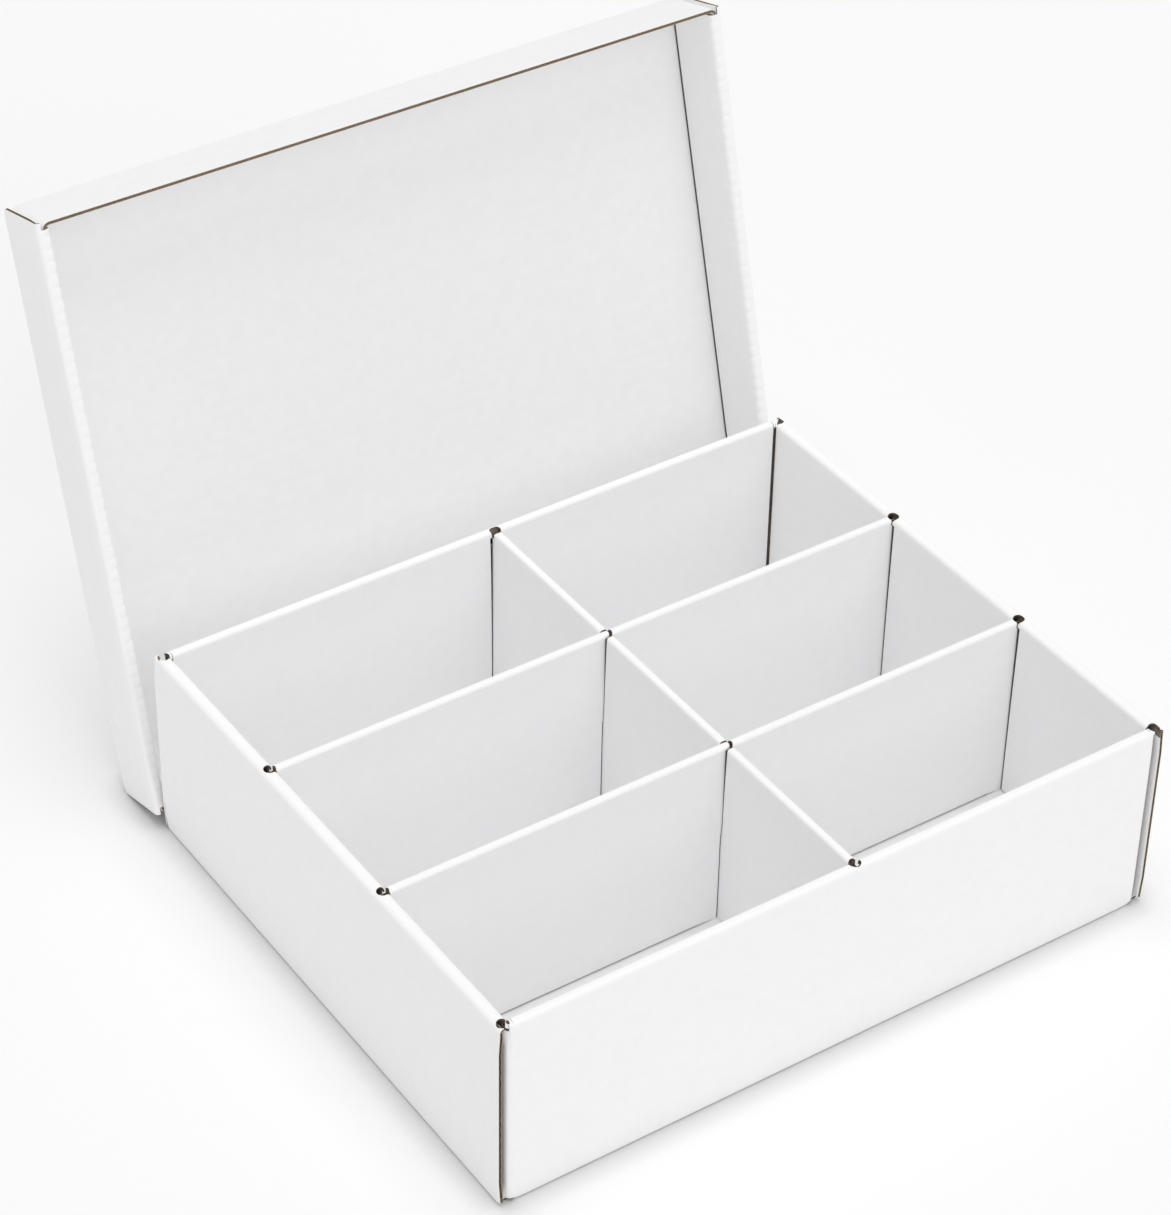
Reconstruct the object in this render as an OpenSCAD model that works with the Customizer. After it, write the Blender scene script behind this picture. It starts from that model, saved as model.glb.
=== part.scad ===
// Trading card storage box of folded corrugated card: a tray with rolled double walls,
// three folded dividers that make six compartments, and a lift-off lid.
// X runs along the long side, +Y to the rear, where the lid stands, and +Z up.
// The origin is at the middle of the tray's underside.

/* [Tray] */
// length of the tray along X
base_l = 358; // [330:2:400]
// width of the tray along Y
base_w = 294; // [270:2:330]
// height of the tray to the top of its rims
base_h = 105; // [85:1:125]
// thickness of a long wall, of two plies
long_wall_t = 4.6; // [4.5:0.1:5.4]
// thickness of a short wall, of two plies with the corner tab between them
short_wall_t = 6.4; // [6.3:0.1:7.2]
// length of the corner tabs inside the short walls
tab_l = 70; // [40:1:75]

/* [Card] */
// thickness of the corrugated card
board_t = 2; // [1.8:0.05:2.05]
// inside radius of the creased folds
fold_r = 0.2; // [0.1:0.05:0.25]
// outer radius of the looser upright folds into the corner tabs
bend_r = 4.2; // [3.4:0.1:4.2]
// outer radius of the two tight creases in the rim of a long wall or divider
rim_r = 1.6; // [1.2:0.1:1.8]

/* [Compartments] */
// shift of the centre divider from the middle of the tray
centre_shift = 6; // [-10:1:10]
// shift of the two row dividers from rows of equal width
row_shift = 0; // [-4:1:4]
// thickness of a folded divider
divider_t = 4.2; // [4.2:0.05:4.4]
// clearance of a divider in the slots and slits that hold it
slot_fit = 0.4; // [0.3:0.1:0.8]

/* [Punched reliefs] */
// radius of the holes punched where the rolled rims meet
relief_r = 2.9; // [2.6:0.1:3]
// depth of these holes below the top of the rims
relief_d = 3.4; // [3:0.1:4]
// distance of a relief's middle outside the inner face of a long wall
relief_back = 1.2; // [0.6:0.1:1.4]
// reach of the corner relief from the outer face of the short wall
corner_relief_x = 3.4; // [3.2:0.1:3.8]
// reach of the corner relief from the outer face of the long wall
corner_relief_y = 3; // [2.6:0.1:3.2]
// distance of the end of a long wall's rim from the outer face of the short wall
corner_rim = 5; // [4.8:0.1:6]
// height of a short wall's rim above the corner tabs
corner_drop = 4; // [3:0.5:6]

/* [Flaps and locks] */
// gap at the ends of the inner flaps
flap_gap = 0.8; // [0.6:0.1:1.2]
// gap below the inner flaps
flap_rise = 0.4; // [0.3:0.1:0.6]
// clearance of a corner tab in a short wall and above the floor
tab_fit = 0.2; // [0.15:0.05:0.25]
// width of a lock tab along its flap
lock_w = 32; // [20:1:50]
// clearance of a lock tab in its floor slot
lock_fit = 0.1; // [0.05:0.05:0.15]
// height of a lock tab's end above the underside
lock_rise = 0.2; // [0.1:0.1:0.5]

/* [Lid] */
// depth of the lid, from its top panel's face to its rim
lid_d = 36; // [26:1:50]
// clearance all round between the tray and the lid's walls
lid_fit = 0.8; // [0.6:0.1:1.5]
// thickness of the lid's double end walls
lid_end_t = 6.4; // [6.3:0.1:7.2]
// length of the lid's corner tabs
lid_tab_l = 60; // [30:1:100]
// gap between the lid's inner flaps and its top panel
lid_seam = 0.9; // [0.5:0.1:1.2]
// gap between the ends of the lid's rolled rims and its long walls
lid_flap_gap = 1.4; // [1.4:0.1:2]
// lean of the standing lid, away from the tray
lid_lean = 15; // [8:0.5:22]
// gap between the tray's rear wall and the lid's lower rim
lid_stand_gap = 0.5; // [0.3:0.1:3]
// shift of the standing lid along X
lid_shift = 3; // [-10:1:10]

/* [Hidden] */
// outer radius of a creased fold
crease_r = board_t + fold_r;
// distance of a relief's middle outside the inner face of a short wall
short_relief_back = relief_back + (short_wall_t - long_wall_t) / 2;
// height of the compartments above the floor's upper face
inner_h = base_h - board_t;
// width of the slits in the inner flaps
slit_w = divider_t + slot_fit;
// clear width of a row
row_w = (base_w - 2 * long_wall_t - 2 * divider_t) / 3;
// distance of the row dividers' middles from the middle of the tray
row_y = row_w / 2 + divider_t / 2 + row_shift;
// distance of a corner tab from the outer face of its short wall, and above the outside
tab_x = board_t + tab_fit;
// height of the tray's corner tabs
corner_top = base_h - corner_drop;
// height of the lid's corner tabs inside its end walls
lid_tab_top = lid_d - board_t - tab_fit;
// outer length of the lid
lid_l = base_l + 2 * (lid_end_t + lid_fit);
// outer width of the lid
lid_w = base_w + 2 * (board_t + lid_fit);
// middles of the flap stretches left and right of the centre divider
left_x = (centre_shift - divider_t / 2 - base_l / 2 + short_wall_t) / 2;
right_x = (centre_shift + divider_t / 2 + base_l / 2 - short_wall_t) / 2;
// middle of the outer rows
outer_row_y = (row_y + divider_t / 2 + base_w / 2 - long_wall_t) / 2;
// overlap of cutting shapes, so that they leave no skin
e = 1;
$fn = 48;

// colours of the card's white liner on the parts
tray_white = [0.93, 0.93, 0.94];
divider_white = [0.9, 0.9, 0.92];
lid_white = [0.95, 0.95, 0.96];

// quarter ring of a crease that turns card from the +X direction to the +Y direction
module crease(r_out, r_in) {
  intersection() {
    difference() {
      circle(r = r_out);
      circle(r = r_in);
    }
    translate([-r_out - e, -r_out - e]) square(r_out + e);
  }
}

// section of a rolled rim over two plies: flat on top between two tight creases; its top is
// on the X axis, and it reaches as far down as a creased fold
module roll(width) {
  difference() {
    union() {
      translate([0, -crease_r]) square([width, crease_r - rim_r]);
      translate([rim_r, -rim_r - e / 10]) square([width - 2 * rim_r, rim_r + e / 10]);
      for (x = [rim_r, width - rim_r])
        translate([x, -rim_r]) circle(r = rim_r);
    }
    translate([board_t, -crease_r - e]) square([width - 2 * board_t, crease_r - board_t + e]);
  }
}

// section of a wall's outer ply with the crease at its foot: X is the depth into the wall
module outer_ply_section(top) {
  translate([crease_r, crease_r]) crease(crease_r, fold_r);
  translate([0, crease_r]) square([board_t, top - crease_r]);
}

// section of a long wall's rolled rim and inner flap
module long_flap_section() {
  translate([0, corner_top]) square([board_t, corner_drop - crease_r]);
  translate([0, base_h]) roll(long_wall_t);
  translate([long_wall_t - board_t, board_t + flap_rise])
    square([board_t, inner_h - flap_rise - crease_r]);
}

// section of a rim that is creased twice and of the inner flap below it
module flat_rim_section(wall_t, top, foot) {
  translate([wall_t - crease_r, top - crease_r]) rotate(180) crease(crease_r, fold_r);
  translate([wall_t - board_t, foot]) square([board_t, top - foot - crease_r]);
  translate([crease_r, top - board_t]) square([wall_t - 2 * crease_r, board_t]);
}

// first crease of the same rim, on the outer ply
module rim_crease_section(top) {
  translate([crease_r, top - crease_r]) rotate(270) crease(crease_r, fold_r);
}

// carries a wall section along X: the section's X points to +Y
module along_x(from, to) {
  translate([from, 0, 0]) rotate([90, 0, 90]) linear_extrude(to - from) children();
}

// carries a wall section along Y: the section's X points to +X
module along_y(from, to) {
  translate([0, to, 0]) rotate([90, 0, 0]) linear_extrude(to - from) children();
}

// corner tab: the upright fold at a long wall's end and the tab beyond it, for the
// corner at the origin, with the long wall along +X and the short wall along +Y
module corner_tab(top, reach) {
  translate([tab_x + bend_r, bend_r, tab_x]) linear_extrude(top - tab_x) {
    crease(bend_r, bend_r - board_t);
    translate([-bend_r, 0]) square([board_t, reach - bend_r]);
  }
}

// punched relief: a round hole straight down through the rims
module relief(x, y) {
  translate([x, y, base_h - relief_d]) cylinder(r = relief_r, h = relief_d + e);
}

// a long wall of the tray, at the front; the rear one is its mirror image
module tray_long_wall() {
  turn_x = base_l / 2 - tab_x - bend_r;
  flap_x = base_l / 2 - short_wall_t - flap_gap;
  rim_x = base_l / 2 - corner_rim;
  translate([0, -base_w / 2, 0]) {
    along_x(-turn_x, turn_x) outer_ply_section(corner_top);
    difference() {
      union() {
        along_x(-flap_x, flap_x) long_flap_section();
        along_x(-rim_x, rim_x) translate([0, base_h]) roll(long_wall_t);
        for (x = [left_x, right_x])
          translate([x - lock_w / 2, long_wall_t - board_t, lock_rise])
            cube([lock_w, board_t, board_t + flap_rise]);
      }
      translate([centre_shift - slit_w / 2, board_t + fold_r, 0])
        cube([slit_w, long_wall_t, base_h - relief_d + e / 10]);
    }
  }
  for (side = [0, 1])
    mirror([side, 0, 0]) translate([-base_l / 2, -base_w / 2, 0])
      corner_tab(corner_top, tab_l);
}

// a short wall of the tray, at the left; the right one is its mirror image
module tray_short_wall() {
  crease_y = base_w / 2 - crease_r;
  flap_y = base_w / 2 - long_wall_t - flap_gap;
  translate([-base_l / 2, 0, 0]) {
    along_y(-crease_y, crease_y) translate([crease_r, crease_r]) crease(crease_r, fold_r);
    along_y(-base_w / 2, base_w / 2) {
      translate([0, crease_r]) square([board_t, base_h - 2 * crease_r]);
      rim_crease_section(base_h);
    }
    difference() {
      union() {
        along_y(-flap_y, flap_y) flat_rim_section(short_wall_t, base_h, board_t + flap_rise);
        for (y = [-outer_row_y, 0, outer_row_y])
          translate([short_wall_t - board_t, y - lock_w / 2, lock_rise])
            cube([board_t, lock_w, board_t + flap_rise]);
      }
      for (y = [-row_y, row_y])
        translate([short_wall_t - board_t - e, y - slit_w / 2, 0])
          cube([board_t + 2 * e, slit_w, base_h - relief_d + e / 10]);
    }
  }
}

// floor of the tray with the slots that the lock tabs stand in
module tray_floor() {
  slot_w = lock_w + 2 * lock_fit;
  long_slot_y = base_w / 2 - crease_r;
  long_slot_d = long_wall_t - crease_r + lock_fit;
  short_slot_x = base_l / 2 - short_wall_t + board_t + lock_fit;
  short_slot_d = board_t + 2 * lock_fit;
  difference() {
    translate([crease_r - base_l / 2, crease_r - base_w / 2, 0])
      cube([base_l - 2 * crease_r, base_w - 2 * crease_r, board_t]);
    for (side = [0, 1])
      mirror([0, side, 0])
        for (x = [left_x, right_x])
          translate([x - slot_w / 2, -long_slot_y - fold_r / 2, -e])
            cube([slot_w, long_slot_d + fold_r / 2, board_t + 2 * e]);
    for (side = [0, 1])
      mirror([side, 0, 0])
        for (y = [-outer_row_y, 0, outer_row_y])
          translate([-short_slot_x, y - slot_w / 2, -e])
            cube([short_slot_d, slot_w, board_t + 2 * e]);
  }
}

// the tray: one folded blank, open at the top
module base_tray() {
  color(tray_white) difference() {
    union() {
      tray_floor();
      for (side = [0, 1])
        mirror([0, side, 0]) tray_long_wall();
      for (side = [0, 1])
        mirror([side, 0, 0]) tray_short_wall();
    }
    for (side = [-1, 1])
      relief(centre_shift, side * (base_w / 2 - long_wall_t + relief_back));
    for (side = [-1, 1])
      for (y = [-row_y, row_y])
        relief(side * (base_l / 2 - short_wall_t + short_relief_back), y);
    for (sx = [-1, 1])
      for (sy = [-1, 1])
        relief(sx * (base_l / 2 - corner_relief_x), sy * (base_w / 2 - corner_relief_y));
  }
}

// section of a divider: two plies under a roll, standing on the floor
module divider_section() {
  translate([-divider_t / 2, base_h]) roll(divider_t);
  for (x = [-divider_t / 2, divider_t / 2 - board_t])
    translate([x, board_t]) square([board_t, inner_h - crease_r]);
}

// divider that runs along Y, with slots open at the top for the row dividers
module centre_divider() {
  end_y = base_w / 2 - crease_r;
  color(divider_white) difference() {
    translate([centre_shift, 0, 0]) along_y(-end_y, end_y) divider_section();
    for (side = [-1, 1])
      translate([centre_shift, side * end_y, base_h])
        cube([2 * divider_t, 2 * (long_wall_t + slot_fit - crease_r), 2 * (relief_d + tab_fit)],
             center = true);
    for (side = [-1, 1])
      relief(centre_shift, side * (base_w / 2 - long_wall_t + relief_back));
    for (y = [-row_y, row_y]) {
      translate([centre_shift - divider_t, y - slit_w / 2, board_t + inner_h / 2])
        cube([2 * divider_t, slit_w, inner_h]);
      relief(centre_shift, y);
    }
  }
}

// divider that runs along X, with a slot open at the foot for the centre divider
module row_divider(y) {
  end_x = base_l / 2 - crease_r;
  color(divider_white) difference() {
    translate([0, y, 0]) along_x(-end_x, end_x) divider_section();
    for (side = [-1, 1])
      translate([side * end_x, y, base_h])
        cube([2 * (short_wall_t + slot_fit - crease_r), 2 * divider_t, 2 * (relief_d + tab_fit)],
             center = true);
    for (side = [-1, 1])
      relief(side * (base_l / 2 - short_wall_t + short_relief_back), y);
    translate([centre_shift - slit_w / 2, y - divider_t, 0])
      cube([slit_w, 2 * divider_t, board_t + inner_h / 2]);
    translate([centre_shift, y, base_h - crease_r])
      cylinder(r = relief_r, h = crease_r + e);
  }
}

// row divider nearer the front
module front_row_divider() {
  row_divider(-row_y);
}

// row divider nearer the rear
module rear_row_divider() {
  row_divider(row_y);
}

// the upright fold at a corner of the lid, above the tab and up to the cut rim
module lid_fold_top() {
  translate([tab_x, 0, lid_tab_top]) linear_extrude(lid_d - lid_tab_top) intersection() {
    translate([bend_r, bend_r]) crease(bend_r, bend_r - board_t);
    square([bend_r, board_t + lid_flap_gap - tab_fit]);
  }
}

// a long wall of the lid at the front: one ply with a cut rim, and its corner tabs
module lid_long_wall() {
  turn_x = lid_l / 2 - tab_x - bend_r;
  translate([0, -lid_w / 2, 0]) along_x(-turn_x, turn_x) outer_ply_section(lid_d);
  for (side = [0, 1])
    mirror([side, 0, 0]) translate([-lid_l / 2, -lid_w / 2, 0])
      corner_tab(lid_tab_top, lid_tab_l);
  for (side = [0, 1])
    mirror([side, 0, 0]) translate([-lid_l / 2, -lid_w / 2, 0])
      lid_fold_top();
}

// a rolled end wall of the lid at the left, with its inner flap
module lid_end_wall() {
  crease_y = lid_w / 2 - crease_r;
  flap_y = lid_w / 2 - board_t - lid_flap_gap;
  translate([-lid_l / 2, 0, 0]) {
    along_y(-crease_y, crease_y) translate([crease_r, crease_r]) crease(crease_r, fold_r);
    along_y(-lid_w / 2, lid_w / 2) {
      translate([0, crease_r]) square([board_t, lid_d - 2 * crease_r]);
      rim_crease_section(lid_d);
    }
    along_y(-flap_y, flap_y) flat_rim_section(lid_end_t, lid_d, board_t + lid_seam);
  }
}

// the lid as it is folded, with its open side up
module lid_folded() {
  translate([crease_r - lid_l / 2, crease_r - lid_w / 2, 0])
    cube([lid_l - 2 * crease_r, lid_w - 2 * crease_r, board_t]);
  for (side = [0, 1])
    mirror([0, side, 0]) lid_long_wall();
  for (side = [0, 1])
    mirror([side, 0, 0]) lid_end_wall();
}

// the lid as it stands behind the tray, on the crease of one long wall, open side forward
module lid() {
  foot_z = -crease_r * (1 - cos(lid_lean) - sin(lid_lean));
  foot_y = base_w / 2 + lid_stand_gap + lid_d * cos(lid_lean);
  color(lid_white)
    translate([lid_shift, foot_y, -foot_z])
      rotate([90 - lid_lean, 0, 0])
        translate([0, lid_w / 2, 0]) lid_folded();
}

base_tray();
centre_divider();
front_row_divider();
rear_row_divider();
lid();
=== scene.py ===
"""Looks of a trading card storage box: a tray of folded white card with six compartments, and its
lift-off lid standing behind it. Lengths are in millimetres until a mesh is made, then in metres."""

import math

import bmesh
import bpy
import numpy as np
from mathutils import Matrix


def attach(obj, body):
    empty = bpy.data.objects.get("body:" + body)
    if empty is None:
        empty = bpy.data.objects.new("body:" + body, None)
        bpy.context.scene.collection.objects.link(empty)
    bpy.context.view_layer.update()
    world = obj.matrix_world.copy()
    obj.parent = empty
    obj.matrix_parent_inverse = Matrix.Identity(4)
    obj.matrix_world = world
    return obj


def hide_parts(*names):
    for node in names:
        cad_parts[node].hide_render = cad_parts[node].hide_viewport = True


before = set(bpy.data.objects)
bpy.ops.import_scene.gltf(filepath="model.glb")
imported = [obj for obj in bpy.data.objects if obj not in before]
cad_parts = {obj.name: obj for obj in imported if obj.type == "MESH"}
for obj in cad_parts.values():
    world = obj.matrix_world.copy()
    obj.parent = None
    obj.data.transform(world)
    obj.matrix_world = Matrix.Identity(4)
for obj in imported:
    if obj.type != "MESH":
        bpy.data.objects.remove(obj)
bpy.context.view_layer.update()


# The tray: one die-cut blank of white-lined fluted card. The floor and four walls are folded up,
# and the walls roll over at the top into inner flaps. The long walls' ends turn the corner and
# are tucked between the two plies of the short walls.
tray_length = 358.0
tray_width = 294.0
tray_height = 105.0
card = 2.0
long_wall = 4.6
short_wall = 6.4
divider = 4.2
divider_shift = 6.0
row_place = (tray_width - 2 * long_wall - 2 * divider) / 6 + divider / 2

# radii of the folds' outer faces: a scored crease, the tighter one of a flat rim, and the soft
# upright fold at a corner
crease = 2.2
tight = 1.6
upright_fold = 4.2

# the long walls' corner tabs, a crevice inside the short walls' outer plies; the inner flaps; and
# the lock tabs that end in the floor
tab_length = 70.0
crevice = 1.3
tab_inset = card + crevice
corner_top = tray_height - 4.0
flap_gap = 0.8
flap_foot = card + 0.4
lock_foot = 0.2
lock_width = 32.0
lock_play = 0.1

# the slits that the dividers stand in, and the round reliefs punched where two rims meet
slit_play = 0.4
slit = divider + slit_play
slit_top = tray_height - 3.3
notch_top = tray_height - 3.6
relief = 2.9
relief_back = 1.2

# the board: its flutes, and the share of its thickness that is lost in a tight fold
flute_pitch = 6.1
crushed = 0.45

# a cut edge, as shares of the card's thickness: the pinch of the cutting rule, each liner (drawn
# thicker than its 0.2 mm, so that it shows) and half of the fluted sheet
pinch = 0.10
liner = 0.15
fluting = 0.07

# depths of a cut edge: of the recess between the liners, and of the fluting, which is dragged
# deeper where the rim is rolled
recess = 2.6
flute_back = 0.1
flute_dragged = 1.4

# what a cell of a sheet can be: card, cut away, or the place where another sheet goes on
solid, cut_away, goes_on = 0, 1, 2

# the finishes of a sheet, in the order of its mesh's materials
outer_face, inner_face, outer_edge, flutes, inner_edge, painted_shade_face = range(6)

# steps of the sheets' grids where they are fine: over a crease, a flat rim and beside a cut
fold_step = 0.45
rim_step = 0.36
cut_step = 0.4


def to_linear(colour):
    """sRGB hex to linear red, green, blue and alpha: the standard curve with its straight foot."""
    srgb = np.array([int(colour[i : i + 2], 16) for i in (1, 3, 5)]) / 255.0
    low, high = srgb / 12.92, ((srgb + 0.055) / 1.055) ** 2.4
    return (*np.where(srgb <= 0.04045, low, high).tolist(), 1.0)


def add(tree, kind, sockets=None, **settings):
    """Adds one node with its settings. A socket gets a value, or a link from an output."""
    new = tree.nodes.new(kind)
    for name, value in settings.items():
        setattr(new, name, value)
    for key, value in (sockets or {}).items():
        if isinstance(value, bpy.types.NodeSocket):
            tree.links.new(value, new.inputs[key])
        else:
            new.inputs[key].default_value = value
    return new


def new_material(name):
    """A material with an empty node tree, and the tree."""
    made = bpy.data.materials.new(name)
    made.use_nodes = True
    made.node_tree.nodes.clear()
    return made, made.node_tree


def white_liner(name, plain, worn, rim_highlight, roughness, flute_height):
    """Bleached liner glued on fluting: the flutes show through as faint ridges along the board,
    spaced at their real pitch, over the cloudy formation of the paper and a fine fibre."""
    made, tree = new_material(name)
    where = add(tree, "ShaderNodeTexCoord").outputs["Object"]
    board = add(tree, "ShaderNodeUVMap", uv_map="board").outputs["UV"]
    across = add(tree, "ShaderNodeSeparateXYZ", {"Vector": board}).outputs["X"]
    # the glue lines wander by a tenth of a millimetre over 40 mm
    drift = add(tree, "ShaderNodeTexNoise", {"Vector": where, "Scale": 1000 / 40, "Detail": 0.0})
    wander = add(tree, "ShaderNodeMath", {0: drift.outputs["Fac"], 1: 0.012, 2: across},
                 operation="MULTIPLY_ADD").outputs[0]
    # the map is in centimetres, and one flute is 0.61 of them
    turn = add(tree, "ShaderNodeMath", {0: wander, 1: 2 * math.pi * 10 / flute_pitch},
               operation="MULTIPLY").outputs[0]
    ridge = add(tree, "ShaderNodeMath", {0: turn}, operation="SINE").outputs[0]
    # stretches of about 42 mm of the web are pressed flatter than others
    patch = add(tree, "ShaderNodeTexNoise", {"Vector": where, "Scale": 24.0, "Detail": 1.0})
    press = add(tree, "ShaderNodeMapRange", {"Value": patch.outputs["Fac"], "From Min": 0.4,
                "From Max": 0.62, "To Min": 0.15, "To Max": 1.0}).outputs[0]
    ripple = add(tree, "ShaderNodeMath", {0: ridge, 1: press}, operation="MULTIPLY").outputs[0]
    # paper formation: clouds of 6.25 mm; fibre: 0.53 mm, coarser than real so that it shows
    cloud = add(tree, "ShaderNodeTexNoise", {"Vector": where, "Scale": 1000 / 6.25,
                "Detail": 1.0})
    fibre = add(tree, "ShaderNodeTexNoise", {"Vector": where, "Scale": 1900.0, "Detail": 2.0,
                "Roughness": 0.6})
    # heights in millimetres: the flutes, then 0.004 for a cloud and 0.008 for the fibre
    height = add(tree, "ShaderNodeMath", {0: ripple, 1: flute_height},
                 operation="MULTIPLY").outputs[0]
    height = add(tree, "ShaderNodeMath", {0: cloud.outputs["Fac"], 1: 0.004, 2: height},
                 operation="MULTIPLY_ADD").outputs[0]
    height = add(tree, "ShaderNodeMath", {0: fibre.outputs["Fac"], 1: 0.008, 2: height},
                 operation="MULTIPLY_ADD").outputs[0]
    bump = add(tree, "ShaderNodeBump", {"Height": height, "Strength": 1.0, "Distance": 0.001})
    # the clouds also shift the colour a little
    tint = add(tree, "ShaderNodeMapRange", {"Value": cloud.outputs["Fac"], "From Min": 0.3,
               "From Max": 0.7}).outputs[0]
    base = add(tree, "ShaderNodeMix", {"Factor": tint, "A": to_linear(worn),
               "B": to_linear(plain)}, data_type="RGBA").outputs["Result"]
    # painted highlight: the coat is drawn lighter where the card rolls over a rim, where the rims
    # catch the light
    rim = add(tree, "ShaderNodeAttribute", attribute_name="roll").outputs["Fac"]
    base = add(tree, "ShaderNodeMix", {"Factor": rim, "A": base, "B": to_linear(rim_highlight)},
               data_type="RGBA").outputs["Result"]
    # painted shade: grey-brown in slits, crevices and seams, where shade falls, so that they look
    # dark
    painted_shade_amount = add(tree, "ShaderNodeAttribute", attribute_name="painted_shade").outputs["Fac"]
    base = add(tree, "ShaderNodeMix", {"Factor": painted_shade_amount, "A": base, "B": to_linear("#79716A")},
               data_type="RGBA").outputs["Result"]
    rough = add(tree, "ShaderNodeMapRange", {"Value": fibre.outputs["Fac"], "From Min": 0.3,
                "From Max": 0.7, "To Min": roughness - 0.05,
                "To Max": roughness + 0.05}).outputs[0]
    shader = add(tree, "ShaderNodeBsdfPrincipled", {"Base Color": base, "Roughness": rough,
                 "IOR": 1.48, "Specular IOR Level": 0.3, "Normal": bump.outputs["Normal"]})
    add(tree, "ShaderNodeOutputMaterial", {"Surface": shader.outputs["BSDF"]})
    return made


def cut_card(name, light, dark, grain):
    """Cut paper, or paper drawn grey-brown as painted shade: fibres of uneven colour with a nap, in
    spots of grain millimetres.
    """
    made, tree = new_material(name)
    where = add(tree, "ShaderNodeTexCoord").outputs["Object"]
    nap = add(tree, "ShaderNodeTexNoise", {"Vector": where, "Scale": 1000.0 / grain,
              "Detail": 4.0, "Roughness": 0.65})
    part = add(tree, "ShaderNodeMapRange", {"Value": nap.outputs["Fac"], "From Min": 0.35,
               "From Max": 0.65}).outputs[0]
    base = add(tree, "ShaderNodeMix", {"Factor": part, "A": to_linear(dark),
               "B": to_linear(light)}, data_type="RGBA").outputs["Result"]
    bump = add(tree, "ShaderNodeBump", {"Height": nap.outputs["Fac"], "Strength": 0.8,
               "Distance": 0.0002})
    shader = add(tree, "ShaderNodeBsdfPrincipled", {"Base Color": base, "Roughness": 0.9,
                 "IOR": 1.45, "Specular IOR Level": 0.2, "Normal": bump.outputs["Normal"]})
    add(tree, "ShaderNodeOutputMaterial", {"Surface": shader.outputs["BSDF"]})
    return made


points_in_a_fold = 25


def walk(start, heading, side, steps):
    """A folded sheet seen end on: follows its outer liner from start, straight for a step of one
    number, or round a fold for a step of radius and angle, always turning to the same side.
    Returns the length walked, the points, and the directions that point out of the card."""
    facing, point, length = math.radians(heading), np.array(start, float), 0.0
    lengths, points, outs = [], [], []
    for step in steps:
        turn = np.zeros(2)
        if len(step) == 2:
            turn = np.linspace(0, math.radians(step[1]), points_in_a_fold)
        angle = facing + side * turn
        out = np.stack([np.sin(angle), -np.cos(angle)], 1) * side
        if len(step) == 2:
            spots = point + step[0] * (out - out[0])
            reach = length + step[0] * turn
        else:
            ahead = np.array([math.cos(facing), math.sin(facing)])
            spots = point + np.outer([0.0, step[0]], ahead)
            reach = length + np.array([0.0, step[0]])
        lengths.append(reach)
        points.append(spots)
        outs.append(out)
        facing, point, length = angle[-1], spots[-1], reach[-1]
    return np.concatenate(lengths), np.concatenate(points), np.concatenate(outs)


def centred(line):
    """The same line, with its lengths counted from its middle."""
    return (line[0] - line[0][-1] / 2, *line[1:])


def along(line, length):
    """Points and outward directions of a walked line at any lengths, read off between its points
    and brought back to length one."""
    lengths, points, outs = line
    spot = [np.interp(length, lengths, points[:, k]) for k in (0, 1)]
    out = [np.interp(length, lengths, outs[:, k]) for k in (0, 1)]
    size = np.hypot(*out)
    return spot[0], spot[1], out[0] / size, out[1] / size


def punched(section, at_w, at_depth, foot):
    """A relief punched straight down through a folded rim: the distance of a place on the sheet
    from its round edge, seen from above, and which lengths are above its foot."""
    def distance(w, l):
        return np.hypot(w - at_w, along(section, l)[0] - at_depth) - relief

    return distance, lambda l: along(section, l)[1] > foot


def folded(plan, section, turned=0.0, lift=None):
    """Place of a folded wall: the section's depth is laid off inwards from the plan line and its
    height upwards, then the wall is turned about the upright axis. A depth below the outer liner
    goes against the section's outward direction."""
    c, s = math.cos(math.radians(turned)), math.sin(math.radians(turned))

    def place(w, l, below):
        px, py, ox, oy = along(plan, w)
        inward, height, nx, nz = along(section, l)
        inward, height = inward - below * nx, height - below * nz
        x, y = px - inward * ox, py - inward * oy
        spot = np.stack([c * x - s * y, s * x + c * y, height], -1)
        return spot if lift is None else spot @ lift[0].T + lift[1]

    return place


def lines(start, stop, step, marks=(), fine=()):
    """Grid lines from start to stop through every mark, a step apart or less, and closer where a
    fine stretch (from, to, step) asks for it."""
    knots = {start, stop, *marks, *(k for f in fine for k in f[:2])}
    knots = sorted(k for k in knots if start <= k <= stop)
    runs = []
    for a, b in zip(knots[:-1], knots[1:]):
        if b - a < 1e-6:
            continue
        near = min([step, *(f[2] for f in fine if f[0] - 1e-9 <= a and b <= f[1] + 1e-9)])
        runs.append(np.linspace(a, b, max(1, math.ceil((b - a) / near - 1e-6)), endpoint=False))
    return np.append(np.concatenate(runs), stop)


def upright_flutes(w, l):
    """Place across flutes that run up a long wall, down its flap and across the floor: the place
    along the wall. The dividers' flutes and those of the lid's end walls run upright too."""
    return w + 0 * l


def unrolled(l):
    """A sheet without a rolled rim: 0 at every length."""
    return 0 * l


# how a sheet's grid meets its cuts: the width of the cells just outside it, how near to a hole's
# edge a corner is drawn onto it, its longest step there and the step that finds the slope, how
# many steps it takes, and how far apart across the flutes an edge's corners can still show them
outside_cell = 0.02
draw_from = 0.6
draw_step = 0.3
slope_step = 0.01
draw_times = 4
flute_step = 1.0


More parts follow.
